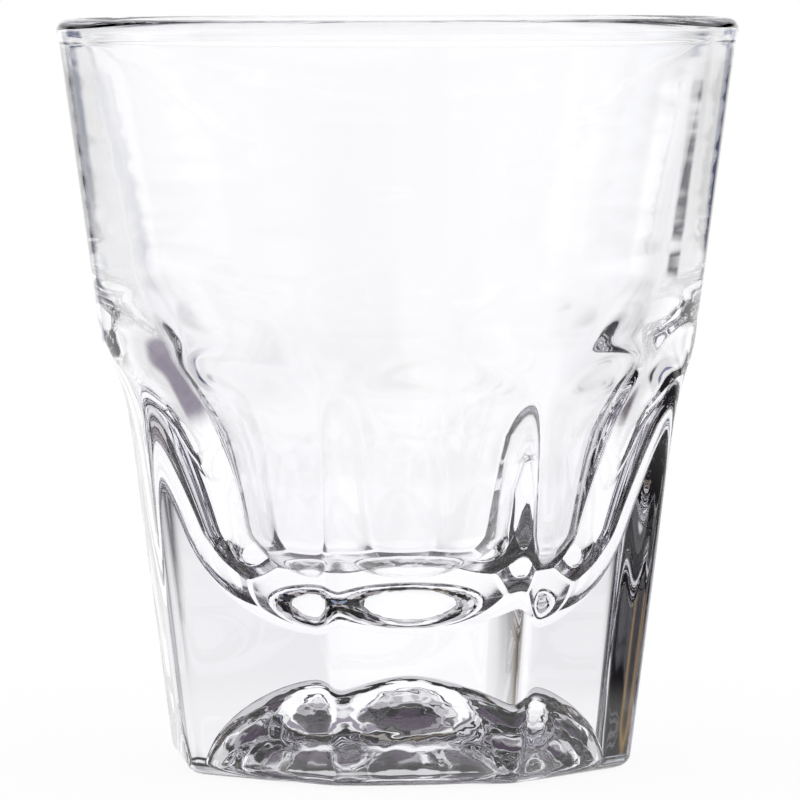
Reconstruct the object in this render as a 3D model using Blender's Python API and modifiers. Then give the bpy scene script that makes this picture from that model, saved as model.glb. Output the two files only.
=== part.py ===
"""Panelled water tumbler: one piece of pressed clear glass, standing on its base ring.

A turned body (cavity, lip, tapered wall, heel and domed underside) is cut by a ring of
flat panels whose scooped tops meet the tapered wall in arches. Metres, +Z up, origin at
the centre of the base, one panel facing -Y.
"""

import math

import bpy

# Overall
HEIGHT = 0.0876
RIM_RADIUS = 0.0400

# Lip: a rounded bead that stands slightly proud of the wall below it
LIP_THICKNESS = 0.0029
BEAD_HEIGHT = 0.0027
BEAD_PROUD = 0.0004
BEAD_UNDERCUT = 0.0005

# Tapered wall
WALL_TAPER = math.radians(7.7)
WALL_THICKNESS = 0.0043

# Panels: flat below, scooped out to the wall above
PANEL_COUNT = 8
PANEL_HEIGHT = 0.0446
PANEL_TAPER = math.radians(7.0)
SCOOP_DEPTH = 0.0034
SCOOP_RISE = 0.0047
SCOOP_FILLET = 0.0270
ARCH_FOOT_DROP = 0.0022
ARRIS_BLUNT = 0.00023
ARRIS_RUN_OUT = 0.0028

# Base
HEEL_RADIUS = 0.0016
RING_WIDTH = 0.0063
PUNT_DEPTH = 0.0123
PUNT_FULLNESS = 1.67

# Cavity
FLOOR_THICKNESS = 0.0048
BOWL_WALL = 0.0089
BOWL_FULLNESS = 2.25
BOWL_TOP_DROP = 0.0056
SHOULDER_RISE = 0.0111
SHOULDER_TAPER = math.radians(23.1)

# Facets
TURN_STEPS = 64
LIP_SEGMENTS = 6
HEEL_SEGMENTS = 5
HEEL_SWEEP = math.radians(72.0)
FILLET_SEGMENTS = 8
BOWL_SEGMENTS = 10
SHOULDER_SEGMENTS = 5
PUNT_SEGMENTS = 8
CUT_MARGIN = 0.0100
MERGE = 0.00001
SHARP_ANGLE = math.radians(20.0)

GLASS_COLOUR = (0.93, 0.94, 0.97, 1.0)
GLASS_ROUGHNESS = 0.02
GLASS_IOR = 1.52

# Heights that follow from the sizes above
ARCH_HEIGHT = PANEL_HEIGHT + SCOOP_RISE
ARCH_FOOT = PANEL_HEIGHT - ARCH_FOOT_DROP
BOWL_TOP = PANEL_HEIGHT - BOWL_TOP_DROP
SHOULDER_TOP = ARCH_HEIGHT + SHOULDER_RISE
FLOOR_HEIGHT = PUNT_DEPTH + FLOOR_THICKNESS
BEAD_FOOT = HEIGHT - BEAD_HEIGHT - BEAD_UNDERCUT


def clear_scene():
    for old in list(bpy.data.objects):
        bpy.data.objects.remove(old, do_unlink=True)


def new_collection(name):
    collection = bpy.data.collections.new(name)
    bpy.context.scene.collection.children.link(collection)
    return collection


def glass_material():
    material = bpy.data.materials.new("clear_glass")
    material.use_nodes = True
    shader = material.node_tree.nodes["Principled BSDF"]
    shader.inputs["Base Color"].default_value = GLASS_COLOUR
    shader.inputs["Roughness"].default_value = GLASS_ROUGHNESS
    shader.inputs["Metallic"].default_value = 0.0
    shader.inputs["IOR"].default_value = GLASS_IOR
    shader.inputs["Transmission Weight"].default_value = 1.0
    return material


def steps(count):
    """Fractions from 0 to 1, both ends included."""
    return [i / count for i in range(count + 1)]


def arc(centre, radius, start, end, count):
    """Points on a circular arc, angles measured from +X (outwards) towards +Z."""
    angles = [start + (end - start) * t for t in steps(count)]
    return [(centre[0] + radius * math.cos(a), centre[1] + radius * math.sin(a)) for a in angles]


def wall_radius(z):
    """Outer radius of the tapered wall, which runs through the bead's foot."""
    return RIM_RADIUS - BEAD_PROUD - (BEAD_FOOT - z) * math.tan(WALL_TAPER)


def panel_apothem(z):
    """Distance of a panel's plane from the axis."""
    top = wall_radius(ARCH_HEIGHT) - SCOOP_DEPTH
    return top - (PANEL_HEIGHT - z) * math.tan(PANEL_TAPER)


def arris_radius(z):
    """Radius of the blunted edge between two panels."""
    return panel_apothem(z) / math.cos(math.pi / PANEL_COUNT) - ARRIS_BLUNT


def hermite(low, low_slope, high, high_slope, t):
    """Radius and height at t between two (radius, z) points with slopes dr/dz."""
    span = high[1] - low[1]
    h00 = 2 * t**3 - 3 * t**2 + 1
    h10 = t**3 - 2 * t**2 + t
    h01 = -2 * t**3 + 3 * t**2
    h11 = t**3 - t**2
    radius = h00 * low[0] + h10 * span * low_slope + h01 * high[0] + h11 * span * high_slope
    return (radius, low[1] + span * t)


def cavity_profile():
    """From the floor's centre, up a full bowl and a flaring shoulder to the upper wall."""
    bowl_radius = panel_apothem(BOWL_TOP) - BOWL_WALL
    bowl_depth = BOWL_TOP - FLOOR_HEIGHT
    # The bowl is a superellipse, left where its side leans as much as the shoulder
    lean = (math.tan(SHOULDER_TAPER) * bowl_depth / bowl_radius) ** (1 / (BOWL_FULLNESS - 1))
    last = math.atan2(1.0, lean ** (BOWL_FULLNESS / 2))
    power = 2 / BOWL_FULLNESS
    points = []
    for t in steps(BOWL_SEGMENTS):
        angle = last * t
        z = BOWL_TOP - bowl_depth * math.cos(angle) ** power
        points.append((bowl_radius * math.sin(angle) ** power, z))
    low = points[-1]
    high = (wall_radius(SHOULDER_TOP) - WALL_THICKNESS, SHOULDER_TOP)
    lip = (RIM_RADIUS - LIP_THICKNESS, HEIGHT - LIP_THICKNESS / 2)
    wall_slope = (lip[0] - high[0]) / (lip[1] - high[1])
    for t in steps(SHOULDER_SEGMENTS)[1:]:
        points.append(hermite(low, math.tan(SHOULDER_TAPER), high, wall_slope, t))
    return points


def lip_profile():
    """Over the rounded lip, from the inside to the foot of its bead."""
    radius = LIP_THICKNESS / 2
    centre = (RIM_RADIUS - radius, HEIGHT - radius)
    points = arc(centre, radius, math.pi, 0.0, LIP_SEGMENTS)
    return points + [(RIM_RADIUS, HEIGHT - BEAD_HEIGHT), (wall_radius(BEAD_FOOT), BEAD_FOOT)]


def foot_profile():
    """Down the wall to the feet of the arches, then the blunted edges and the heel to the base ring."""
    edge_top = ARCH_FOOT - ARRIS_RUN_OUT
    heel_radius = arris_radius(HEEL_RADIUS)
    points = [(wall_radius(ARCH_FOOT), ARCH_FOOT), (arris_radius(edge_top), edge_top)]
    points += arc((heel_radius - HEEL_RADIUS, HEEL_RADIUS), HEEL_RADIUS, 0.0, -math.pi / 2, HEEL_SEGMENTS)
    return points


def punt_profile():
    """Up the dome under the base, from the ring's inner edge to the axis."""
    punt_radius = panel_apothem(HEEL_RADIUS) - HEEL_RADIUS - RING_WIDTH
    points = []
    for t in steps(PUNT_SEGMENTS):
        angle = math.pi / 2 * t
        radius = punt_radius * math.cos(angle) ** (2 / PUNT_FULLNESS)
        points.append((radius, PUNT_DEPTH * math.sin(angle) ** (2 / PUNT_FULLNESS)))
    points[-1] = (0.0, PUNT_DEPTH)
    return points


def turned_body(collection):
    """The whole section turned about Z."""
    profile = cavity_profile() + lip_profile() + foot_profile() + punt_profile()
    edges = [(i, i + 1) for i in range(len(profile) - 1)]
    mesh = bpy.data.meshes.new("tumbler")
    mesh.from_pydata([(r, 0.0, z) for r, z in profile], edges, [])
    body = bpy.data.objects.new("tumbler", mesh)
    collection.objects.link(body)
    turn = body.modifiers.new("turn", "SCREW")
    turn.axis = "Z"
    turn.steps = TURN_STEPS
    turn.render_steps = TURN_STEPS
    turn.use_merge_vertices = True
    turn.merge_threshold = MERGE
    turn.use_smooth_shade = True
    return body


def scoop_angle():
    """Lean of the scooped panel top from the vertical."""
    return math.atan2(SCOOP_DEPTH, SCOOP_RISE)


def heel_outline():
    """Side view of the rounded heel, from below the base up to the panel's plane."""
    centre = (panel_apothem(HEEL_RADIUS) - HEEL_RADIUS, HEEL_RADIUS)
    heel = arc(centre, HEEL_RADIUS, -HEEL_SWEEP, 0.0, HEEL_SEGMENTS)
    start = heel[0]
    run_out = (start[0] - CUT_MARGIN * math.sin(HEEL_SWEEP), start[1] - CUT_MARGIN * math.cos(HEEL_SWEEP))
    return [run_out] + heel


def scoop_outline():
    """Side view of the panel's top: a fillet off the plane, then a slope out through the wall."""
    lean = scoop_angle()
    turn = lean - PANEL_TAPER
    start_z = PANEL_HEIGHT - SCOOP_FILLET * math.tan(turn / 2) * math.cos(PANEL_TAPER)
    centre = (
        panel_apothem(start_z) + SCOOP_FILLET * math.cos(PANEL_TAPER),
        start_z - SCOOP_FILLET * math.sin(PANEL_TAPER),
    )
    start = math.pi - PANEL_TAPER
    fillet = arc(centre, SCOOP_FILLET, start, start - turn, FILLET_SEGMENTS)
    outside = RIM_RADIUS + CUT_MARGIN
    end = fillet[-1]
    return fillet + [(outside, end[1] + (outside - end[0]) / math.tan(lean))]


def panel_outline():
    """Side view of the cut: heel, plane and scoop, closed outside the glass."""
    heel = heel_outline()
    outside = RIM_RADIUS + CUT_MARGIN
    return [(outside, heel[0][1])] + heel + scoop_outline()


def panel_cutter(index, collection):
    """The cut for one panel, thickened across the panel's width and turned to its place."""
    outline = panel_outline()
    mesh = bpy.data.meshes.new(f"panel_cutter_{index}")
    mesh.from_pydata([(0.0, -n, z) for n, z in outline], [], [range(len(outline))])
    cutter = bpy.data.objects.new(f"panel_cutter_{index}", mesh)
    collection.objects.link(cutter)
    width = cutter.modifiers.new("width", "SOLIDIFY")
    width.thickness = 2 * RIM_RADIUS * math.tan(math.pi / PANEL_COUNT)
    width.offset = 0.0
    cutter.rotation_euler.z = 2 * math.pi * index / PANEL_COUNT
    cutter.hide_render = True
    cutter.display_type = "WIRE"
    return cutter


def cut_panels(body, collection):
    for index in range(PANEL_COUNT):
        cut = body.modifiers.new(f"panel_{index}", "BOOLEAN")
        cut.operation = "DIFFERENCE"
        cut.solver = "EXACT"
        cut.object = panel_cutter(index, collection)


def shade(body):
    body.data.shade_smooth()
    body.data.set_sharp_from_angle(angle=SHARP_ANGLE)


def main():
    clear_scene()
    parts = new_collection("water_tumbler")
    cutters = new_collection("panel_cutters")
    body = turned_body(parts)
    body.data.materials.append(glass_material())
    cut_panels(body, cutters)
    shade(body)


main()
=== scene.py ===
"""Panelled water tumbler: the fine pressed glass over its solid frame, with its floor, light and camera.

Metres, +Z up, the base on z = 0 and one panel facing -Y.
"""

import math
from collections import namedtuple

import bpy
from bpy.props import FloatProperty, FloatVectorProperty, IntProperty, PointerProperty
from mathutils import Matrix, Vector


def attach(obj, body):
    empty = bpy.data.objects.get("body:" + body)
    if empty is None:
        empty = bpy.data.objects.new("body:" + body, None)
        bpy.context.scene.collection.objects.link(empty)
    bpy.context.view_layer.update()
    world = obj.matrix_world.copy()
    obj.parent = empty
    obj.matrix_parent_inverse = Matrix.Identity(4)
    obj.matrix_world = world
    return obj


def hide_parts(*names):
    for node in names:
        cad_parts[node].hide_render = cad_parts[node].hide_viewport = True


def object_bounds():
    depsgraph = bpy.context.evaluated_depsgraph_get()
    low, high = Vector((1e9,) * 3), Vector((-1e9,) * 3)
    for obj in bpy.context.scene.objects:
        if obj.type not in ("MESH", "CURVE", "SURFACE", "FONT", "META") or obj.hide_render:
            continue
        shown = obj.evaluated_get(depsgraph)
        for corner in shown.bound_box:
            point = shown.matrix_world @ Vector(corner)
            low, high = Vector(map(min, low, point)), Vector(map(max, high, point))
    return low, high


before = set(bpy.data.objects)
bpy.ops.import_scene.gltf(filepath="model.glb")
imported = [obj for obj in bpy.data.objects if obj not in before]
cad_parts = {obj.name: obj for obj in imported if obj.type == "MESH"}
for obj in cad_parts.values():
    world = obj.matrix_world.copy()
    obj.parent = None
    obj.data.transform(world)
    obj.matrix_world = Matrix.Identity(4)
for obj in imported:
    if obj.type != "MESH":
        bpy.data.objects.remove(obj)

bl_info = {
    "name": "Panelled Water Tumbler",
    "version": (1, 0, 0),
    "blender": (4, 5, 0),
    "location": "3D View > Sidebar > Tumbler",
    "description": "Makes a pressed-glass tumbler with arched panels and a plain studio to show it in",
    "category": "Add Mesh",
}

CAD_LOW, CAD_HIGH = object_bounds()
BODY = "root"
NODE = "tumbler"

# Rows of the mesh along each run of the section
BOWL_ROWS = 42
SHOULDER_ROWS = 30
WALL_ROWS = 50
LIP_ROWS = 18
BEAD_ROWS = 3
UNDERCUT_ROWS = 4
OUTER_ROWS = 10
ARCH_ROWS = 60
PANEL_ROWS = 12
HEEL_ROWS = 12
RING_ROWS = 5
PUNT_LIP_ROWS = 5
PUNT_ROWS = 38
# Points of the bowl's curve for each of its rows, before they are spaced evenly
BOWL_FINENESS = 8
# Points closer than this are one, which closes the seam and the two poles
MERGE_DISTANCE = 0.000001
# A smooth minimum of two equal values lies a sixth of its width below them
SMOOTH_SHARE = 6.0

# Chill marks on the bowl and the dome, as shares of those on the upper wall
BOWL_RIPPLE = 0.3
PUNT_RIPPLE = 0.5
# Name under which the finished mesh keeps each point's share of the chill marks
UNEVEN = "uneven"
# Drag marks start where that share reaches this
DRAG_START = 0.8
# Width over which the dome's wrinkles fade out
DOME_BLEND = 0.0006

# Finer layers in each kind of mark, and how strongly they show
CHILL_DETAIL = 2.0
CHILL_ROUGHNESS = 0.6
WRINKLE_DETAIL = 1.0
DRAG_DETAIL = 1.0
SCUFF_DETAIL = 4.0
PLAIN_ROUGHNESS = 0.5
# Blender's noise runs from 0 to 1 about this
NOISE_MIDDLE = 0.5

# Camera, floor and light paths
SENSOR_WIDTH = 36.0
CLIP_NEAR = 0.01
CLIP_FAR = 100.0
FLOOR_SIDES = 128
MOST_BOUNCES = 24
GLOSSY_BOUNCES = 12
WHITE = (1.0, 1.0, 1.0, 1.0)
HALF_TURN = 180.0

# What the glass sees round it: soft-edged cards of light. Bearings are degrees to the right of
# the camera's own direction, elevations degrees above the level.
Card = namedtuple("Card", "name bearing half_width low high colour")
CARDS = (
    Card("low backdrop", -2.0, 43.0, -8.0, 5.0, (0.95, 0.95, 0.95)),
    Card("low backdrop centre", -1.0, 14.0, -8.0, 5.0, (0.12, 0.12, 0.11)),
    Card("left amber", -46.0, 4.0, -8.0, 12.0, (0.34, 0.28, 0.22)),
    Card("left cool card", -61.0, 10.0, 5.0, 12.0, (0.24, 0.30, 0.42)),
    Card("middle backdrop", -5.0, 24.0, 5.0, 12.0, (0.50, 0.50, 0.51)),
    Card("middle backdrop centre", -2.0, 10.0, 5.0, 12.0, (0.52, 0.52, 0.51)),
    Card("upper backdrop", -6.0, 38.0, 12.0, 25.0, (0.50, 0.48, 0.50)),
    Card("upper backdrop centre", -2.0, 10.0, 12.0, 25.0, (0.42, 0.43, 0.42)),
    Card("high backdrop", 3.0, 28.0, 25.0, 45.0, (0.66, 0.66, 0.67)),
    Card("ceiling", 0.0, 180.0, 65.0, 95.0, (0.05, 0.03, 0.06)),
    Card("left card", -98.0, 13.0, -8.0, 12.0, (0.75, 0.75, 0.75)),
    Card("right card foot", 91.0, 49.0, -8.0, 5.0, (0.68, 0.66, 0.64)),
    Card("right card", 70.0, 26.0, 5.0, 12.0, (0.60, 0.59, 0.63)),
    Card("right card top", 52.0, 18.0, 12.0, 25.0, (0.92, 0.92, 0.92)),
    Card("right lamp", 62.0, 30.0, 25.0, 45.0, (0.65, 0.65, 0.67)),
    Card("front left box", -130.0, 30.0, 12.0, 25.0, (0.34, 0.30, 0.29)),
    Card("front left lamp", -165.0, 15.0, 25.0, 45.0, (0.28, 0.28, 0.24)),
    Card("front right box", 150.0, 35.0, 12.0, 25.0, (0.20, 0.17, 0.13)),
    Card("warm lamp", 165.0, 0.5, 27.0, 43.0, (0.50, 0.30, 0.09)),
    Card("top right fill", 120.0, 60.0, 45.0, 65.0, (0.36, 0.35, 0.37)),
)
# Degrees over which a card fades at its sides, and at its top and foot
CARD_SOFTNESS = 7.0
EDGE_SOFTNESS = 3.0

# Painted light and shade on the floor: the level of its glow, which only the glass sees, is raised or
# lowered patch by patch round the glass. Bearings are those of the cards, soft is in degrees, and near and
# far are distances from the axis.
Patch = namedtuple("Patch", "name bearing half_width soft near far change")
FLOOR_LEVEL = 0.86
PAINTED_PATCHES = (
    Patch("under the glass", 0.0, 180.0, 0.0, 0.0, 0.06, (0.24, 0.24, 0.24)),
    Patch("just ahead", 0.0, 46.0, 24.0, 0.06, 0.20, (0.22, 0.22, 0.22)),
    Patch("left near", -106.0, 43.0, 8.0, 0.06, 0.20, (-0.57, -0.60, -0.54)),
    Patch("right near", 88.0, 27.0, 8.0, 0.06, 0.20, (-0.70, -0.72, -0.70)),
    Patch("front near right", 165.0, 15.0, 8.0, 0.06, 0.20, (-0.34, -0.34, -0.38)),
    Patch("front near left", -165.0, 15.0, 8.0, 0.06, 0.20, (-0.80, -0.80, -0.80)),
    Patch("ahead", 0.0, 22.0, 10.0, 0.20, 0.60, (0.24, 0.24, 0.24)),
    Patch("far ahead", -6.0, 19.0, 8.0, 0.60, 9.0, (0.24, 0.24, 0.24)),
    Patch("left slot", -27.0, 5.0, 6.0, 0.35, 0.60, (-0.18, -0.17, -0.12)),
    Patch("left slot far", -32.0, 8.0, 5.0, 0.60, 9.0, (-0.84, -0.82, -0.74)),
    Patch("left side far", -65.0, 12.0, 6.0, 0.60, 9.0, (-0.45, -0.45, -0.42)),
    Patch("right slot near", 47.5, 5.0, 4.0, 0.24, 0.32, (-0.86, -0.86, -0.84)),
    Patch("right slot far", 24.0, 6.0, 5.0, 0.75, 9.0, (-0.66, -0.64, -0.52)),
    Patch("right side far", 75.0, 28.0, 6.0, 0.60, 9.0, (-0.70, -0.70, -0.70)),
    Patch("right far", 106.0, 12.0, 8.0, 0.40, 9.0, (-0.45, -0.45, -0.45)),
    Patch("front right", 146.0, 28.0, 7.0, 0.40, 9.0, (-0.80, -0.80, -0.80)),
    Patch("front left", -146.0, 40.0, 7.0, 0.40, 9.0, (-0.78, -0.78, -0.78)),
)
# How softly a patch starts and ends, as a share of the distance there
RADIAL_SOFTNESS = 0.15


def length(name, description, default, precision=5):
    return FloatProperty(
        name=name, description=description, default=default, unit="LENGTH", precision=precision
    )


def angle(name, description, degrees):
    return FloatProperty(
        name=name, description=description, default=math.radians(degrees), subtype="ANGLE"
    )


def number(name, description, default):
    return FloatProperty(name=name, description=description, default=default, precision=4)


def count(name, description, default):
    return IntProperty(name=name, description=description, default=default, min=1)


def colour(name, description, default):
    return FloatVectorProperty(
        name=name, description=description, default=default, size=4, subtype="COLOR", min=0.0, max=1.0
    )


class TumblerSizes(bpy.types.PropertyGroup):
    """Sizes of the glass. The height and the rim come from the frame"""

    height: length("Height", "Base to lip", CAD_HIGH.z - CAD_LOW.z)
    rim_radius: length("Rim radius", "Outer radius of the lip", (CAD_HIGH.x - CAD_LOW.x) / 2)
    lip_thickness: length("Lip thickness", "Glass across the rounded lip", 0.0029)
    bead_height: length("Bead height", "Depth of the bead round the lip", 0.0021)
    bead_proud: length("Bead proud", "How far the bead stands out of the wall", 0.0004)
    bead_undercut: length("Bead undercut", "Height of the step under the bead", 0.0011)
    wall_taper: angle("Wall taper", "Lean of the round wall", 7.7)
    wall_thickness: length("Wall thickness", "Glass in the upper wall", 0.0043)
    panel_count: count("Panels", "Flat panels round the lower half", 8)
    panel_height: length("Panel height", "Where a panel meets its scooped top", 0.0446)
    panel_taper: angle("Panel taper", "Lean of the flat panels", 7.0)
    scoop_depth: length("Scoop depth", "How far a panel sits inside the wall", 0.0034)
    scoop_rise: length("Scoop rise", "Height of the scooped top of a panel", 0.0047)
    scoop_softness: length("Scoop softness", "Rounding between panel and scoop", 0.0040)
    arris_blunt: length("Arris blunt", "How much the edges between panels are worn in", 0.00023)
    edge_softness: length("Edge softness", "Fire-polished rounding of edges and arches", 0.0015)
    heel_radius: length("Heel radius", "Rounding of the foot", 0.0016)
    ring_width: length("Ring width", "Flat ring that the glass stands on", 0.0063)
    punt_depth: length("Punt depth", "Height of the dome under the base", 0.0123)
    punt_fullness: number("Punt fullness", "2 is an ellipse, more is boxier", 1.67)
    punt_lip: length("Punt lip", "Rounding of the dome's edge", 0.0005)
    floor_thickness: length("Floor thickness", "Glass between dome and cavity", 0.0048)
    bowl_wall: length("Bowl wall", "Glass between the bowl and a panel", 0.0089)
    bowl_fullness: number("Bowl fullness", "2 is an ellipse, more is boxier", 2.25)
    bowl_top_drop: length("Bowl top drop", "Top of the bowl below the panel's top", 0.0056)
    shoulder_rise: length("Shoulder rise", "Top of the inner shoulder over the arches", 0.0111)
    shoulder_taper: angle("Shoulder taper", "Lean of the cavity where bowl and shoulder meet", 23.1)
    columns: count("Columns", "Mesh columns across one panel", 42)
    crowding: number("Crowding", "How closely the columns gather at the edges, 0 to 0.45", 0.42)
    ripple: length("Ripple", "Height of the chill marks on the plunger-formed inside", 0.00008)
    ripple_around: number("Ripple around", "Chill marks in a metre round the glass", 30.0)
    ripple_up: number("Ripple up", "Chill marks in a metre up the glass", 450.0)


class GlassLook(bpy.types.PropertyGroup):
    """Finish of the glass"""

    tint: colour("Tint", "Colour of the light that the surface passes", (0.990, 0.990, 1.000, 1.0))
    ior: number("Index", "Refractive index of soda-lime glass", 1.52)
    depth_tint: colour("Depth tint", "Colour that thick glass takes on", (0.86, 0.86, 0.93, 1.0))
    depth_density: number("Depth density", "Absorption in one metre of glass", 6.0)
    roughness: number("Roughness", "Base roughness of the fire-polished skin", 0.0)
    wrinkle: length("Wrinkle", "Height of the mould's wrinkles under the dome", 0.00014, 6)
    wrinkle_scale: number("Wrinkle scale", "Wrinkles in a metre", 380.0)
    drag: length("Drag", "Height of the fine drag marks on the inner wall", 0.0000015, 6)
    drag_around: number("Drag around", "Drag marks in a metre round the glass", 120.0)
    drag_up: number("Drag up", "Drag marks in a metre up the glass", 1600.0)
    scuff: number("Scuff", "Roughness of the worn base ring", 0.30)
    scuff_scale: number("Scuff scale", "Scuffs in a metre", 900.0)
    scuff_height: length("Scuff height", "How far the wear reaches up from the base", 0.0006)


class StageLook(bpy.types.PropertyGroup):
    """Camera, light and floor"""

    camera_distance: length("Camera distance", "Camera from the axis, level", 0.790)
    camera_rise: length("Camera rise", "Camera above the lip", 0.00635)
    camera_turn: angle("Camera turn", "Camera round from the front panel, to its left", 6.85)
    camera_pitch: angle("Camera pitch", "Downward aim", 3.716)
    camera_yaw: angle("Camera yaw", "Sideways aim", 0.0126)
    camera_roll: angle("Camera roll", "Tilt of the frame", -0.17)
    lens: number("Lens", "Focal length in millimetres", 302.7)
    floor_size: length("Floor size", "Radius of the floor", 6.0)
    floor_tint: colour("Floor tint", "Colour of the floor in its own shading", (1.0, 1.0, 1.0, 1.0))
    shadow: number("Shadow", "How much of the floor's own shading the camera sees, 0 to 1", 0.07)
    floor_gap: length("Floor gap", "Floor below the base, so that the two never share a plane", 0.0003)


def steps(total):
    """Fractions from 0 to 1, both ends included."""
    return [i / total for i in range(total + 1)]


def spaced(line, total):
    """Points at even distances along a line."""
    runs = [0.0]
    for (r0, z0), (r1, z1) in zip(line, line[1:]):
        runs.append(runs[-1] + math.hypot(r1 - r0, z1 - z0))
    made = []
    k = 0
    for t in steps(total):
        want = runs[-1] * t
        while k < len(runs) - 2 and runs[k + 1] < want:
            k += 1
        f = (want - runs[k]) / (runs[k + 1] - runs[k])
        made.append(tuple(a + (b - a) * f for a, b in zip(line[k], line[k + 1])))
    return made


class Section:
    """The glass's turned section: radii, heights and what each point takes part in."""

    def __init__(self, sizes):
        self.s = sizes
        self.points = []
        self.bead_foot = sizes.height - sizes.bead_height - sizes.bead_undercut
        self.arch_height = sizes.panel_height + sizes.scoop_rise

    def wall_radius(self, z):
        """Outer radius of the tapered wall, which runs through the bead's foot."""
        s = self.s
        return s.rim_radius - s.bead_proud - (self.bead_foot - z) * math.tan(s.wall_taper)

    def panel_apothem(self, z):
        """Distance of a panel's plane from the axis."""
        s = self.s
        top = self.wall_radius(self.arch_height) - s.scoop_depth
        return top - (s.panel_height - z) * math.tan(s.panel_taper)

    def dome_radius(self):
        """Radius of the dome under the base, inside its ring."""
        s = self.s
        return self.panel_apothem(s.heel_radius) - s.heel_radius - s.ring_width

    def add(self, radius, z, share=0.0, reference=None, ripple=0.0):
        """share is how far the panels press a point in, reference the radius that they press on,
        and ripple the point's share of the chill marks."""
        self.points.append((radius, z, share, radius if reference is None else reference, ripple))

    def cavity(self):
        """Bowl, shoulder and upper wall, from the floor's centre to the lip."""
        s = self.s
        bowl_top = s.panel_height - s.bowl_top_drop
        floor = s.punt_depth + s.floor_thickness
        bowl_radius = self.panel_apothem(bowl_top) - s.bowl_wall
        depth = bowl_top - floor
        power = 2 / s.bowl_fullness
        # The bowl is a superellipse, left where its side leans as much as the shoulder
        lean = (math.tan(s.shoulder_taper) * depth / bowl_radius) ** (1 / (s.bowl_fullness - 1))
        last = math.atan2(1.0, lean ** (s.bowl_fullness / 2))
        turned = []
        for t in steps(BOWL_ROWS * BOWL_FINENESS):
            a = last * t
            turned.append((bowl_radius * math.sin(a) ** power, bowl_top - depth * math.cos(a) ** power))
        for radius, z in spaced(turned, BOWL_ROWS):
            self.add(radius, z, ripple=BOWL_RIPPLE)
        low = turned[-1]
        high_z = self.arch_height + s.shoulder_rise
        high = (self.wall_radius(high_z) - s.wall_thickness, high_z)
        self.shoulder(low, high)
        end = (s.rim_radius - s.lip_thickness, s.height - s.lip_thickness / 2)
        for t in steps(WALL_ROWS)[1:-1]:
            self.add(high[0] + (end[0] - high[0]) * t, high[1] + (end[1] - high[1]) * t, ripple=1.0)

    def shoulder(self, low, high):
        """Curve that leaves the bowl with the shoulder's lean and joins the wall with the wall's."""
        span = high[1] - low[1]
        rise = math.tan(self.s.shoulder_taper) * span
        run = math.tan(self.s.wall_taper) * span
        for t in steps(SHOULDER_ROWS)[1:]:
            radius = (
                (2 * t**3 - 3 * t**2 + 1) * low[0]
                + (t**3 - 2 * t**2 + t) * rise
                + (3 * t**2 - 2 * t**3) * high[0]
                + (t**3 - t**2) * run
            )
            self.add(radius, low[1] + span * t, ripple=BOWL_RIPPLE + (1.0 - BOWL_RIPPLE) * t * t)

    def lip(self):
        """Over the rounded lip and down its bead to the round wall."""
        s = self.s
        radius = s.lip_thickness / 2
        for t in steps(LIP_ROWS):
            a = math.pi * (1 - t)
            self.add(s.rim_radius - radius + radius * math.cos(a), s.height - radius + radius * math.sin(a))
        # The bead's side leans as the wall does, then eases back to it
        lean = math.tan(s.wall_taper)
        side = s.bead_height - radius
        for t in steps(BEAD_ROWS)[1:]:
            drop = side * t
            self.add(s.rim_radius - drop * lean, s.height - radius - drop)
        proud = s.rim_radius - side * lean - self.wall_radius(s.height - s.bead_height)
        for t in steps(UNDERCUT_ROWS)[1:]:
            z = s.height - s.bead_height - s.bead_undercut * t
            self.add(self.wall_radius(z) + proud * (1 - t * t * (3 - 2 * t)), z)

    def outside(self):
        """Round wall, arches, panels and heel, where the panels press. Gives the ring's outer radius."""
        s = self.s
        reach = s.scoop_softness / 2
        bands = (
            (self.bead_foot, self.arch_height + reach, OUTER_ROWS),
            (self.arch_height + reach, s.panel_height - 2 * reach, ARCH_ROWS),
            (s.panel_height - 2 * reach, s.heel_radius, PANEL_ROWS),
        )
        for top, low, rows in bands:
            for t in steps(rows)[1:]:
                z = top + (low - top) * t
                self.add(self.wall_radius(z), z, 1.0)
        foot = self.wall_radius(s.heel_radius)
        for t in steps(HEEL_ROWS)[1:]:
            a = math.pi / 2 * t
            self.add(foot - s.heel_radius * (1 - math.cos(a)), s.heel_radius * (1 - math.sin(a)), 1.0)
        return foot - s.heel_radius

    def underside(self, ring_edge):
        """Base ring, then the dome up to the axis."""
        s = self.s
        punt = self.dome_radius()
        mouth = punt + s.punt_lip
        for t in steps(RING_ROWS)[1:]:
            self.add(ring_edge + (mouth - ring_edge) * t, 0.0, 1.0 - t, ring_edge)
        for t in steps(PUNT_LIP_ROWS)[1:]:
            a = math.pi / 2 * t
            self.add(mouth - s.punt_lip * math.sin(a), s.punt_lip * (1 - math.cos(a)))
        rise = s.punt_depth - s.punt_lip
        power = 2 / s.punt_fullness
        for t in steps(PUNT_ROWS)[1:]:
            a = math.pi / 2 * t
            radius = punt * max(math.cos(a), 0.0) ** power if t < 1 else 0.0
            self.add(radius, s.punt_lip + rise * math.sin(a) ** power, ripple=PUNT_RIPPLE)

    def make(self):
        self.cavity()
        self.lip()
        self.underside(self.outside())
        return self.points


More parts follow.
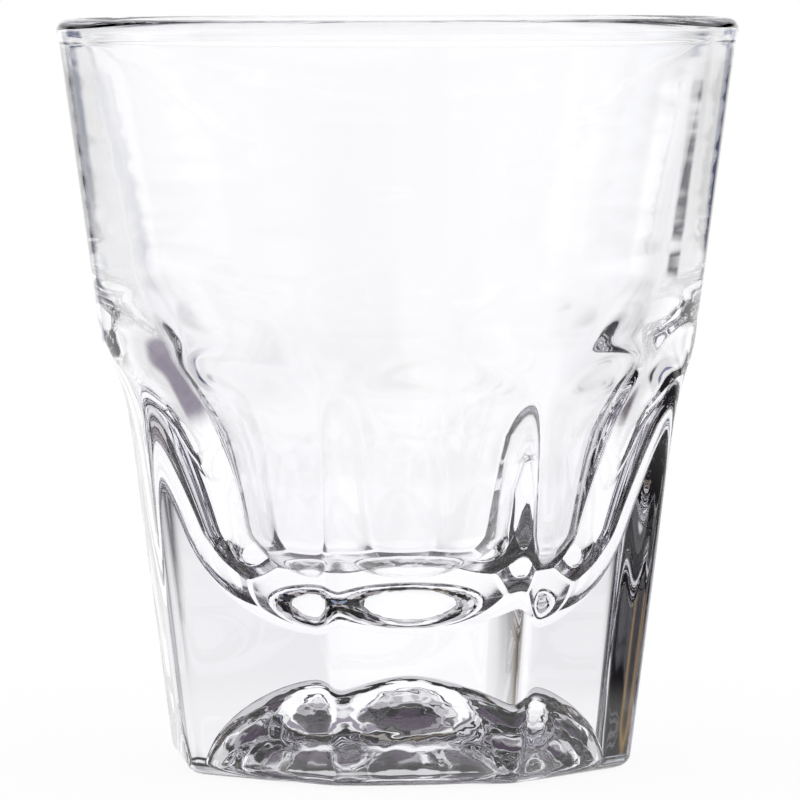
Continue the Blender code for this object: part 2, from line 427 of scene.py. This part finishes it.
class Tree:
    """Short calls for building a node tree."""

    def __init__(self, tree):
        self.tree = tree

    def node(self, kind, **settings):
        made = self.tree.nodes.new(kind)
        for key, value in settings.items():
            setattr(made, key, value)
        return made

    def feed(self, socket, value):
        """Links a socket to another one, or sets its own value."""
        if isinstance(value, bpy.types.NodeSocket):
            self.tree.links.new(value, socket)
        elif value is not None:
            socket.default_value = value

    def fill(self, made, *values):
        """Feeds a node's inputs in order and gives its first output."""
        for socket, value in zip(made.inputs, values):
            self.feed(socket, value)
        return made.outputs[0]

    def math(self, operation, *values):
        return self.fill(self.node("ShaderNodeMath", operation=operation), *values)

    def add(self, a, b):
        return self.math("ADD", a, b)

    def sub(self, a, b):
        return self.math("SUBTRACT", a, b)

    def mul(self, a, b):
        return self.math("MULTIPLY", a, b)

    def div(self, a, b):
        return self.math("DIVIDE", a, b)

    def vector(self, operation, *values):
        return self.fill(self.node("ShaderNodeVectorMath", operation=operation), *values)

    def times(self, vector, factor):
        """A vector or colour made longer or shorter."""
        made = self.node("ShaderNodeVectorMath", operation="SCALE")
        self.feed(made.inputs[0], vector)
        self.feed(made.inputs["Scale"], factor)
        return made.outputs[0]

    def split(self, vector):
        made = self.node("ShaderNodeSeparateXYZ")
        self.feed(made.inputs[0], vector)
        return made.outputs

    def join(self, x, y, z):
        return self.fill(self.node("ShaderNodeCombineXYZ"), x, y, z)

    def stretched(self, place, around, up):
        """A place scaled by one number on the level and by another upwards."""
        x = self.mul(place["X"], around)
        y = self.mul(place["Y"], around)
        return self.join(x, y, self.mul(place["Z"], up))

    def from_axis(self, place):
        """Distance of a place from the glass's axis."""
        x = place["X"]
        y = place["Y"]
        return self.math("SQRT", self.add(self.mul(x, x), self.mul(y, y)))

    def ramp(self, value, low, high):
        """Smooth step from 0 at low to 1 at high."""
        made = self.node("ShaderNodeMapRange", interpolation_type="SMOOTHSTEP")
        return self.fill(made, value, low, high, 0.0, 1.0)

    def noise(self, at, detail, roughness=PLAIN_ROUGHNESS):
        """Noise about zero at a scaled place."""
        made = self.node("ShaderNodeTexNoise", noise_dimensions="3D")
        for name, value in (("Vector", at), ("Scale", 1.0), ("Detail", detail), ("Roughness", roughness)):
            self.feed(made.inputs[name], value)
        return self.sub(made.outputs[0], NOISE_MIDDLE)

    def position(self):
        return self.node("GeometryNodeInputPosition").outputs[0]

    def attribute(self, name):
        made = self.node("GeometryNodeInputNamedAttribute", data_type="FLOAT")
        made.inputs["Name"].default_value = name
        return made.outputs["Attribute"]

    def coloured(self, kind, value):
        """A shader of one kind with its colour."""
        made = self.node(kind)
        self.feed(made.inputs["Color"], value)
        return made.outputs[0]

    def mix(self, share, first, second):
        """One shader where share is 0, the other where it is 1."""
        return self.fill(self.node("ShaderNodeMixShader"), share, first, second)


TREE_SIZES = (
    ("Panels", "NodeSocketInt"),
    ("Columns", "NodeSocketInt"),
    ("Rows", "NodeSocketInt"),
    ("Crowding", "NodeSocketFloat"),
    ("Panel Height", "NodeSocketFloat"),
    ("Panel Apothem", "NodeSocketFloat"),
    ("Panel Slope", "NodeSocketFloat"),
    ("Scoop Slope", "NodeSocketFloat"),
    ("Scoop Softness", "NodeSocketFloat"),
    ("Arris Blunt", "NodeSocketFloat"),
    ("Edge Softness", "NodeSocketFloat"),
    ("Heel Radius", "NodeSocketFloat"),
    ("Ripple", "NodeSocketFloat"),
    ("Ripple Around", "NodeSocketFloat"),
    ("Ripple Up", "NodeSocketFloat"),
)


def sampled(t, section, row, field, kind):
    """A field of the section, read at the point that a row of the grid stands for."""
    made = t.node("GeometryNodeSampleIndex", data_type=kind, domain="POINT")
    t.feed(made.inputs["Geometry"], section)
    t.feed(made.inputs["Value"], field)
    t.feed(made.inputs["Index"], row)
    return made.outputs[0]


def panel_face(t, given, z):
    """Distance of a panel's face from the axis: plane, scooped top and rounded heel."""
    above = t.sub(z, given["Panel Height"])
    plane = t.add(given["Panel Apothem"], t.mul(above, given["Panel Slope"]))
    slope = t.mul(above, t.sub(given["Scoop Slope"], given["Panel Slope"]))
    scoop = t.math("SMOOTH_MAX", slope, 0.0, given["Scoop Softness"])
    heel = given["Heel Radius"]
    below = t.math("MAXIMUM", t.sub(heel, z), 0.0)
    kept = t.math("MAXIMUM", t.sub(t.mul(heel, heel), t.mul(below, below)), 0.0)
    tucked = t.sub(heel, t.math("SQRT", kept))
    return t.sub(t.add(plane, scoop), tucked)


def panel_ring(t, given, face, local, half):
    """Radius out to a panel or its neighbour, with the edge between the two worn in."""
    beside = t.sub(t.mul(half, 2.0), t.math("ABSOLUTE", local))
    own = t.div(face, t.math("COSINE", local))
    neighbour = t.div(face, t.math("COSINE", beside))
    return t.math("SMOOTH_MIN", own, neighbour, t.mul(given["Arris Blunt"], SMOOTH_SHARE))


def chill_marked(t, given, shape):
    """Chill marks, mostly level, along the surface's own direction."""
    at = t.stretched(t.split(t.position()), given["Ripple Around"], given["Ripple Up"])
    height = t.mul(t.noise(at, CHILL_DETAIL, CHILL_ROUGHNESS), given["Ripple"])
    wave = t.mul(height, t.attribute(UNEVEN))
    moved = t.node("GeometryNodeSetPosition")
    t.feed(moved.inputs["Geometry"], shape)
    t.feed(moved.inputs["Offset"], t.times(t.node("GeometryNodeInputNormal").outputs[0], wave))
    return moved.outputs[0]


def pressed_glass_tree():
    """Turns a section about Z and presses flat, arched panels into its outside."""
    tree = bpy.data.node_groups.new("pressed_glass", "GeometryNodeTree")
    sockets = (("Section", "NodeSocketGeometry"), *TREE_SIZES, ("Glass", "NodeSocketMaterial"))
    for name, kind in sockets:
        tree.interface.new_socket(name=name, in_out="INPUT", socket_type=kind)
    tree.interface.new_socket(name="Tumbler", in_out="OUTPUT", socket_type="NodeSocketGeometry")
    t = Tree(tree)
    given = t.node("NodeGroupInput").outputs
    panels = given["Panels"]
    section = given["Section"]

    # A flat grid, 1 by 1 about the origin: columns go round the glass, rows along the section
    columns = t.add(t.mul(panels, given["Columns"]), 1)
    grid = t.fill(t.node("GeometryNodeMeshGrid"), 1.0, 1.0, columns, given["Rows"])
    place = t.split(t.position())
    turn = t.mul(t.add(place["X"], 0.5), panels)
    row = t.math("ROUND", t.mul(t.add(place["Y"], 0.5), t.sub(given["Rows"], 1)))
    point = t.split(sampled(t, section, row, t.position(), "FLOAT_VECTOR"))
    share = sampled(t, section, row, t.attribute("share"), "FLOAT")
    reference = sampled(t, section, row, t.attribute("reference"), "FLOAT")
    ripple = sampled(t, section, row, t.attribute("ripple"), "FLOAT")
    z = point["Z"]

    # Angle across the panel, with the columns gathered towards its edges
    panel = t.math("FLOOR", turn)
    across = t.sub(t.mul(t.sub(turn, panel), 2.0), 1.0)
    cubed = t.mul(t.mul(across, across), across)
    gathered = t.sub(t.mul(across, t.add(given["Crowding"], 1.0)), t.mul(given["Crowding"], cubed))
    half = t.div(math.pi, panels)
    local = t.mul(gathered, half)
    theta = t.add(t.sub(t.mul(panel, t.mul(half, 2.0)), math.pi / 2), local)

    ring = panel_ring(t, given, panel_face(t, given, z), local, half)
    pressed = t.math("SMOOTH_MIN", reference, ring, given["Edge Softness"])
    radius = t.add(point["X"], t.mul(share, t.sub(pressed, reference)))

    keep = t.node("GeometryNodeStoreNamedAttribute", data_type="FLOAT", domain="POINT")
    keep.inputs["Name"].default_value = UNEVEN
    t.feed(keep.inputs["Geometry"], grid)
    t.feed(keep.inputs["Value"], ripple)
    turned = t.node("GeometryNodeSetPosition")
    t.feed(turned.inputs["Geometry"], keep.outputs[0])
    x = t.mul(radius, t.math("COSINE", theta))
    y = t.mul(radius, t.math("SINE", theta))
    t.feed(turned.inputs["Position"], t.join(x, y, z))
    closed = t.node("GeometryNodeMergeByDistance")
    t.feed(closed.inputs["Geometry"], turned.outputs[0])
    closed.inputs["Distance"].default_value = MERGE_DISTANCE

    shape = chill_marked(t, given, closed.outputs[0])
    outward = t.fill(t.node("GeometryNodeFlipFaces"), shape)
    smooth = t.fill(t.node("GeometryNodeSetShadeSmooth"), outward)
    real = t.fill(t.node("GeometryNodeRealizeInstances"), smooth)
    skin = t.node("GeometryNodeSetMaterial")
    t.feed(skin.inputs["Geometry"], real)
    t.feed(skin.inputs["Material"], given["Glass"])
    t.feed(t.node("NodeGroupOutput").inputs[0], skin.outputs[0])
    return tree


def emptied_tree(owner):
    """Node tree of a new material or world, with nothing in it."""
    owner.use_nodes = True
    owner.node_tree.nodes.clear()
    return Tree(owner.node_tree)


def glass_material(look, dome_radius, dome_depth):
    """Clear glass: wrinkled under the dome, dragged inside the wall, worn on the base ring."""
    material = bpy.data.materials.new("clear_pressed_glass")
    t = emptied_tree(material)
    place = t.split(t.node("ShaderNodeTexCoord").outputs["Object"])
    z = place["Z"]

    within = t.ramp(t.from_axis(place), dome_radius + DOME_BLEND, dome_radius)
    in_dome = t.mul(within, t.ramp(z, dome_depth + DOME_BLEND, dome_depth))
    wrinkled = t.noise(t.stretched(place, look.wrinkle_scale, look.wrinkle_scale), WRINKLE_DETAIL)
    wrinkles = t.mul(in_dome, t.mul(wrinkled, look.wrinkle))
    uneven = t.node("ShaderNodeAttribute", attribute_name=UNEVEN).outputs["Fac"]
    on_wall = t.ramp(uneven, DRAG_START, 1.0)
    dragged = t.noise(t.stretched(place, look.drag_around, look.drag_up), DRAG_DETAIL)
    drags = t.mul(on_wall, t.mul(dragged, look.drag))
    # The heights are in metres already
    bump = t.node("ShaderNodeBump")
    bump.inputs["Distance"].default_value = 1.0
    t.feed(bump.inputs["Height"], t.add(wrinkles, drags))
    scuffed = t.noise(t.stretched(place, look.scuff_scale, look.scuff_scale), SCUFF_DETAIL)
    scuffs = t.mul(t.add(scuffed, NOISE_MIDDLE), look.scuff)
    worn = t.mul(scuffs, t.ramp(z, look.scuff_height, 0.0))

    shader = t.node("ShaderNodeBsdfPrincipled")
    shader.inputs["Base Color"].default_value = look.tint
    shader.inputs["Transmission Weight"].default_value = 1.0
    shader.inputs["IOR"].default_value = look.ior
    t.feed(shader.inputs["Roughness"], t.add(worn, look.roughness))
    t.feed(shader.inputs["Normal"], bump.outputs[0])
    depth = t.node("ShaderNodeVolumeAbsorption")
    depth.inputs["Color"].default_value = look.depth_tint
    depth.inputs["Density"].default_value = look.depth_density
    out = t.node("ShaderNodeOutputMaterial")
    t.feed(out.inputs["Surface"], shader.outputs[0])
    t.feed(out.inputs["Volume"], depth.outputs[0])
    return material


class TUMBLER_OT_glass(bpy.types.Operator):
    """Makes the glass from its turned section and its panels"""

    bl_idname = "tumbler.make_glass"
    bl_label = "Make Glass"

    def execute(self, context):
        sizes = context.scene.tumbler_sizes
        section = Section(sizes)
        points = section.make()
        material = glass_material(context.scene.tumbler_glass, section.dome_radius(), sizes.punt_depth)
        draft = self.make_draft(context, points)
        self.add_press(draft, self.press_values(sizes, section, len(points), material))
        evaluated = draft.evaluated_get(context.evaluated_depsgraph_get())
        made = bpy.data.meshes.new_from_object(evaluated)
        if not made.polygons:
            raise RuntimeError("the glass came out empty")
        made.name = "tumbler_glass"
        # The grid brings an empty slot of its own
        made.materials.clear()
        made.materials.append(material)
        made.polygons.foreach_set("material_index", [0] * len(made.polygons))
        glass = bpy.data.objects.new("tumbler_glass", made)
        context.scene.collection.objects.link(glass)
        bpy.data.objects.remove(draft, do_unlink=True)
        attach(glass, BODY)
        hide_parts(NODE)
        return {"FINISHED"}

    def make_draft(self, context, points):
        """The section as a line of edges that carries its shares."""
        mesh = bpy.data.meshes.new("tumbler_section")
        edges = [(i, i + 1) for i in range(len(points) - 1)]
        mesh.from_pydata([(p[0], 0.0, p[1]) for p in points], edges, [])
        for column, name in ((2, "share"), (3, "reference"), (4, "ripple")):
            held = mesh.attributes.new(name, "FLOAT", "POINT")
            held.data.foreach_set("value", [p[column] for p in points])
        draft = bpy.data.objects.new("tumbler_section", mesh)
        context.scene.collection.objects.link(draft)
        return draft

    def press_values(self, sizes, section, rows, material):
        """Values for the pressing tree's inputs, by name."""
        return {
            "Panels": sizes.panel_count,
            "Columns": sizes.columns,
            "Rows": rows,
            "Crowding": sizes.crowding,
            "Panel Height": sizes.panel_height,
            "Panel Apothem": section.panel_apothem(sizes.panel_height),
            "Panel Slope": math.tan(sizes.panel_taper),
            "Scoop Slope": sizes.scoop_depth / sizes.scoop_rise,
            "Scoop Softness": sizes.scoop_softness,
            "Arris Blunt": sizes.arris_blunt,
            "Edge Softness": sizes.edge_softness,
            "Heel Radius": sizes.heel_radius,
            "Ripple": sizes.ripple,
            "Ripple Around": sizes.ripple_around,
            "Ripple Up": sizes.ripple_up,
            "Glass": material,
        }

    def add_press(self, draft, values):
        """The pressing tree as a modifier, with its inputs set."""
        press = draft.modifiers.new("press", "NODES")
        press.node_group = pressed_glass_tree()
        for item in press.node_group.interface.items_tree:
            if item.in_out == "INPUT" and item.name in values:
                press[item.identifier] = values[item.name]


class Round:
    """Bearing windows about the vertical, measured from the camera's own direction."""

    def __init__(self, t, way, turn):
        self.t = t
        ahead = t.add(t.mul(way["X"], math.sin(turn)), t.mul(way["Y"], math.cos(turn)))
        aside = t.sub(t.mul(way["X"], math.cos(turn)), t.mul(way["Y"], math.sin(turn)))
        self.bearing = t.math("ARCTAN2", aside, ahead)

    def window(self, centre, half_width, soft):
        """1 inside a range of bearings, with soft ends."""
        if half_width >= HALF_TURN:
            return 1.0
        off = self.t.math("WRAP", self.t.sub(self.bearing, math.radians(centre)), math.pi, -math.pi)
        outer = math.radians(half_width + soft / 2)
        inner = math.radians(half_width - soft / 2)
        return self.t.ramp(self.t.math("ABSOLUTE", off), outer, inner)


def seen_in_glass(t):
    """1 for rays that reach a thing through the glass or off it."""
    path = t.node("ShaderNodeLightPath").outputs
    return t.math("MAXIMUM", path["Is Glossy Ray"], path["Is Transmission Ray"])


def beyond(t, distance, edge):
    """1 past a distance from the axis, with a soft start."""
    return t.ramp(distance, edge * (1 - RADIAL_SOFTNESS), edge * (1 + RADIAL_SOFTNESS))


def floor_material(look):
    """White to the camera but for the glass's shadow; to the glass it glows with painted light and shade,
    patch by patch.
    """
    material = bpy.data.materials.new("pale_floor")
    t = emptied_tree(material)
    place = t.split(t.node("ShaderNodeTexCoord").outputs["Object"])
    compass = Round(t, place, look.camera_turn)
    distance = t.from_axis(place)
    level = [FLOOR_LEVEL] * 3
    for patch in PAINTED_PATCHES:
        started = beyond(t, distance, patch.near) if patch.near else 1.0
        reach = t.sub(started, beyond(t, distance, patch.far))
        inside = t.mul(compass.window(patch.bearing, patch.half_width, patch.soft), reach)
        level = t.vector("MULTIPLY_ADD", inside, patch.change, level)
    shaded = t.coloured("ShaderNodeBsdfDiffuse", look.floor_tint)
    white = t.coloured("ShaderNodeEmission", WHITE)
    # Painted light: an emission that only the glass sees, made brighter or darker patch by patch
    painted_glow = t.coloured("ShaderNodeEmission", level)
    camera_ray = t.node("ShaderNodeLightPath").outputs["Is Camera Ray"]
    to_camera = t.mix(t.mul(camera_ray, 1.0 - look.shadow), shaded, white)
    to_all = t.mix(seen_in_glass(t), to_camera, painted_glow)
    t.feed(t.node("ShaderNodeOutputMaterial").inputs["Surface"], to_all)
    return material


def studio_world(turn):
    """White to the camera and the floor; the glass sees the studio's cards in a dark room."""
    world = bpy.data.worlds.new("studio")
    t = emptied_tree(world)
    way = t.split(t.node("ShaderNodeTexCoord").outputs["Generated"])
    compass = Round(t, way, turn)
    rise = t.math("ARCSINE", way["Z"])
    soft = math.radians(EDGE_SOFTNESS) / 2
    total = (0.0, 0.0, 0.0)
    for card in CARDS:
        low = math.radians(card.low)
        high = math.radians(card.high)
        tall = t.mul(t.ramp(rise, low - soft, low + soft), t.ramp(rise, high + soft, high - soft))
        inside = t.mul(tall, compass.window(card.bearing, card.half_width, CARD_SOFTNESS))
        total = t.vector("ADD", total, t.times(card.colour, inside))
    studio = t.coloured("ShaderNodeBackground", total)
    plain = t.coloured("ShaderNodeBackground", WHITE)
    shown = t.mix(seen_in_glass(t), plain, studio)
    t.feed(t.node("ShaderNodeOutputWorld").inputs["Surface"], shown)
    return world


class TUMBLER_OT_stage(bpy.types.Operator):
    """Makes the floor, the light and the camera"""

    bl_idname = "tumbler.make_stage"
    bl_label = "Make Stage"

    def execute(self, context):
        look = context.scene.tumbler_stage
        self.make_floor(context, look)
        context.scene.world = studio_world(look.camera_turn)
        self.make_camera(context, look)
        context.scene.view_settings.view_transform = "Standard"
        context.scene.cycles.max_bounces = MOST_BOUNCES
        context.scene.cycles.transmission_bounces = MOST_BOUNCES
        context.scene.cycles.glossy_bounces = GLOSSY_BOUNCES
        return {"FINISHED"}

    def make_floor(self, context, look):
        bpy.ops.mesh.primitive_circle_add(
            vertices=FLOOR_SIDES,
            radius=look.floor_size,
            fill_type="NGON",
            location=(0.0, 0.0, -look.floor_gap),
        )
        floor = context.object
        floor.name = "pale_floor"
        floor.data.materials.append(floor_material(look))

    def make_camera(self, context, look):
        data = bpy.data.cameras.new("camera")
        data.lens = look.lens
        data.sensor_width = SENSOR_WIDTH
        data.clip_start = CLIP_NEAR
        data.clip_end = CLIP_FAR
        camera = bpy.data.objects.new("camera", data)
        context.scene.collection.objects.link(camera)
        turn = look.camera_turn
        level = look.camera_distance
        place = Vector((-level * math.sin(turn), -level * math.cos(turn), CAD_HIGH.z + look.camera_rise))
        heading = Matrix.Rotation(-turn - look.camera_yaw, 4, "Z")
        pitch = Matrix.Rotation(math.pi / 2 - look.camera_pitch, 4, "X")
        roll = Matrix.Rotation(look.camera_roll, 4, "Z")
        camera.matrix_world = Matrix.Translation(place) @ heading @ pitch @ roll
        context.scene.camera = camera


class TUMBLER_PT_panel(bpy.types.Panel):
    """Lists the tumbler's makers and sizes"""

    bl_idname = "TUMBLER_PT_panel"
    bl_label = "Tumbler"
    bl_space_type = "VIEW_3D"
    bl_region_type = "UI"
    bl_category = "Tumbler"

    def draw(self, context):
        column = self.layout.column()
        for maker in (TUMBLER_OT_glass, TUMBLER_OT_stage):
            column.operator(maker.bl_idname)
        for group in ("tumbler_sizes", "tumbler_glass", "tumbler_stage"):
            held = getattr(context.scene, group)
            for name in held.__annotations__:
                column.prop(held, name)


CLASSES = (TumblerSizes, GlassLook, StageLook, TUMBLER_OT_glass, TUMBLER_OT_stage, TUMBLER_PT_panel)


def register():
    for made in CLASSES:
        bpy.utils.register_class(made)
    bpy.types.Scene.tumbler_sizes = PointerProperty(type=TumblerSizes)
    bpy.types.Scene.tumbler_glass = PointerProperty(type=GlassLook)
    bpy.types.Scene.tumbler_stage = PointerProperty(type=StageLook)


def unregister():
    del bpy.types.Scene.tumbler_stage
    del bpy.types.Scene.tumbler_glass
    del bpy.types.Scene.tumbler_sizes
    for made in reversed(CLASSES):
        bpy.utils.unregister_class(made)


def main():
    register()
    bpy.ops.tumbler.make_stage()
    bpy.ops.tumbler.make_glass()


if __name__ == "__main__":
    main()
